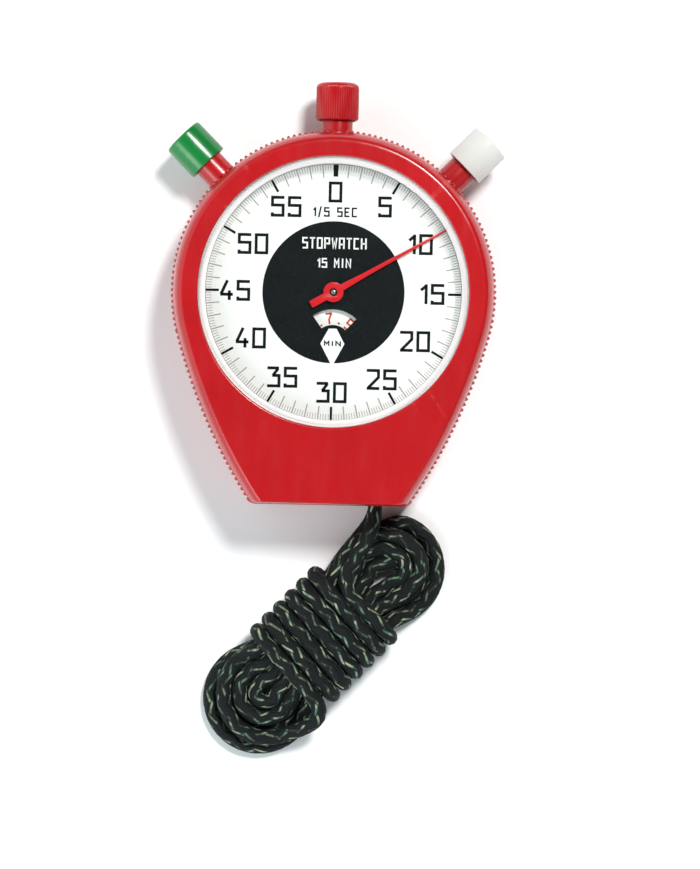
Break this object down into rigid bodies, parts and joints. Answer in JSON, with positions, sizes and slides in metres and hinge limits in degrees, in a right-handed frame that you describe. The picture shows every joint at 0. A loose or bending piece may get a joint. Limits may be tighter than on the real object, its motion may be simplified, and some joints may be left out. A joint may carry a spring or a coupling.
{
  "type": "mechanical stopwatch",
  "caption": "Hand-wound stopwatch in a tapered plastic case with toothed grip, centre seconds hand, minute window, three push buttons and a braided lanyard in a hank.",
  "frame": {"origin": "where the axis of the sweep hand meets the flat back of the case", "axes": "+Z out of the dial, +Y towards 12 o'clock and the crown, +X to the right of the dial"},
  "size_m": [0.0592, 0.1187, 0.0174],
  "materials": {
    "case_red": "semi-gloss moulded plastic",
    "button_green": "semi-gloss moulded plastic",
    "button_white": "semi-gloss moulded plastic",
    "crystal": "clear acrylic",
    "dial_white": "white printed sheet",
    "hand_red": "red lacquer",
    "cord_black": "braided cord, black with green flecks",
    "brass": "turned and gilt",
    "nickel": "nickel-plated brass",
    "blued_steel": "heat-blued spring steel",
    "steel": "polished steel"
  },
  "bodies": {
    "case": {"front_case": "case_red", "back_case": "case_red", "crystal": "crystal", "crystal_ring": "dial_white", "dial": "dial_white", "cord_bar": "steel", "case_screw_1": "steel", "case_screw_2": "steel", "case_screw_3": "steel", "case_screw_4": "steel", "start_bush": "case_red", "reset_bush": "case_red", "crown_bush": "case_red", "start_spring": "steel", "reset_spring": "steel", "crown_spring": "steel", "main_plate": "nickel", "barrel_bridge": "nickel", "train_bridge": "nickel", "balance_cock": "nickel", "bridge_screw_1": "steel", "bridge_screw_2": "steel", "bridge_screw_3": "steel", "bridge_screw_4": "steel", "bridge_screw_5": "steel", "click_spring": "blued_steel", "hairspring": "blued_steel", "lanyard_leg_lower": "cord_black", "lanyard_leg_upper": "cord_black", "lanyard_hank": "cord_black"},
    "start_button": {"start_cap": "button_green", "start_stem": "steel"},
    "reset_button": {"reset_cap": "button_white", "reset_stem": "steel"},
    "crown_slide": {"stem_sleeve": "steel"},
    "crown": {"crown_cap": "case_red", "winding_stem": "steel"},
    "winding_pinion": {"winding_pinion": "steel"},
    "crown_wheel": {"crown_wheel": "steel"},
    "ratchet": {"ratchet_wheel": "steel", "barrel_arbor": "steel"},
    "click": {"click": "steel"},
    "sweep": {"sweep_hand": "hand_red", "fourth_wheel": "brass", "heart_cam": "steel", "minute_finger": "steel"},
    "escape": {"escape_wheel": "brass"},
    "third": {"third_wheel": "brass"},
    "centre": {"centre_wheel": "brass"},
    "barrel": {"barrel": "brass", "mainspring": "blued_steel"},
    "minute": {"minute_disc": "dial_white", "minute_wheel": "brass"},
    "balance": {"balance_wheel": "brass", "balance_staff": "steel"},
    "fork": {"pallet_fork": "steel"},
    "start_lever": {"start_lever": "steel"},
    "stop_lever": {"stop_lever": "steel"},
    "hammer": {"reset_hammer": "steel"}
  },
  "joints": [
    {"name": "start_press", "type": "slide", "parent": "case", "child": "start_button", "axis": [0.7071, -0.7071, 0], "range_m": [0, 0.0018], "stiffness_N_per_m": 900, "springref_m": -0.0015, "deforming": ["start_spring"]},
    {"name": "reset_press", "type": "slide", "parent": "case", "child": "reset_button", "axis": [-0.7071, -0.7071, 0], "range_m": [0, 0.0018], "stiffness_N_per_m": 900, "springref_m": -0.0015, "deforming": ["reset_spring"]},
    {"name": "stop_press", "type": "slide", "parent": "case", "child": "crown_slide", "axis": [0, -1, 0], "range_m": [0, 0.0014], "stiffness_N_per_m": 900, "springref_m": -0.0015, "deforming": ["crown_spring"]},
    {"name": "crown_turn", "type": "hinge", "parent": "crown_slide", "child": "crown", "pos_m": [0, 0, 0.0074], "axis": [0, 1, 0], "continuous": true},
    {"name": "winding_pinion_turn", "type": "hinge", "parent": "case", "child": "winding_pinion", "pos_m": [0, 0, 0.0074], "axis": [0, 1, 0], "continuous": true},
    {"name": "crown_wheel_turn", "type": "hinge", "parent": "case", "child": "crown_wheel", "pos_m": [0, 0.0107, 0.0074], "axis": [0, 0, 1], "continuous": true},
    {"name": "ratchet_turn", "type": "hinge", "parent": "case", "child": "ratchet", "pos_m": [0.0129, 0.0058, 0.0074], "axis": [0, 0, 1], "continuous": true},
    {"name": "click_pivot", "type": "hinge", "parent": "case", "child": "click", "pos_m": [0.00975, 0.0155, 0.0074], "axis": [0, 0, 1], "range_deg": [0, 8], "stiffness_Nm_per_rad": 0.0005, "springref_deg": -5.73, "deforming": ["click_spring"]},
    {"name": "sweep_turn", "type": "hinge", "parent": "case", "child": "sweep", "pos_m": [0, 0, 0.0074], "axis": [0, 0, 1], "continuous": true},
    {"name": "escape_turn", "type": "hinge", "parent": "case", "child": "escape", "pos_m": [-0.00478, -0.00128, 0.0074], "axis": [0, 0, 1], "continuous": true},
    {"name": "third_turn", "type": "hinge", "parent": "case", "child": "third", "pos_m": [0.00304, -0.00531, 0.0074], "axis": [0, 0, 1], "continuous": true},
    {"name": "centre_turn", "type": "hinge", "parent": "case", "child": "centre", "pos_m": [0.01057, -0.00288, 0.0074], "axis": [0, 0, 1], "continuous": true},
    {"name": "barrel_turn", "type": "hinge", "parent": "case", "child": "barrel", "pos_m": [0.0129, 0.0058, 0.0074], "axis": [0, 0, 1], "continuous": true},
    {"name": "minute_turn", "type": "hinge", "parent": "case", "child": "minute", "pos_m": [0, -0.009, 0.0074], "axis": [0, 0, 1], "continuous": true},
    {"name": "balance_swing", "type": "hinge", "parent": "case", "child": "balance", "pos_m": [-0.01422, -0.00784, 0.0074], "axis": [0, 0, 1], "range_deg": [-220, 220], "stiffness_Nm_per_rad": 0.0000006, "deforming": ["hairspring"]},
    {"name": "fork_swing", "type": "hinge", "parent": "case", "child": "fork", "pos_m": [-0.00798, -0.00351, 0.0074], "axis": [0, 0, 1], "range_deg": [-4, 4]},
    {"name": "start_lever_pivot", "type": "hinge", "parent": "case", "child": "start_lever", "pos_m": [-0.0176, 0.0086, 0.0074], "axis": [0, 0, 1], "range_deg": [-16.32, 0]},
    {"name": "stop_lever_pivot", "type": "hinge", "parent": "case", "child": "stop_lever", "pos_m": [-0.0105, 0.01, 0.0074], "axis": [0, 0, 1], "range_deg": [-7.72, 0]},
    {"name": "hammer_slide", "type": "slide", "parent": "case", "child": "hammer", "axis": [-0.7071, -0.7071, 0], "range_m": [0, 0.0018]}
  ],
  "couplings": [
    {"joint": "winding_pinion_turn", "follows": "crown_turn", "ratio": 1},
    {"joint": "crown_wheel_turn", "follows": "crown_turn", "ratio": 0.33333},
    {"joint": "ratchet_turn", "follows": "crown_turn", "ratio": -0.25641},
    {"joint": "escape_turn", "follows": "sweep_turn", "ratio": -10},
    {"joint": "third_turn", "follows": "sweep_turn", "ratio": -0.13333},
    {"joint": "centre_turn", "follows": "sweep_turn", "ratio": 0.016667},
    {"joint": "barrel_turn", "follows": "sweep_turn", "ratio": -0.0020833},
    {"joint": "minute_turn", "follows": "sweep_turn", "ratio": -0.066667},
    {"joint": "start_lever_pivot", "follows": "start_press", "rad_per_m": -157.22},
    {"joint": "stop_lever_pivot", "follows": "stop_press", "rad_per_m": -95},
    {"joint": "hammer_slide", "follows": "reset_press", "ratio": 1}
  ]
}
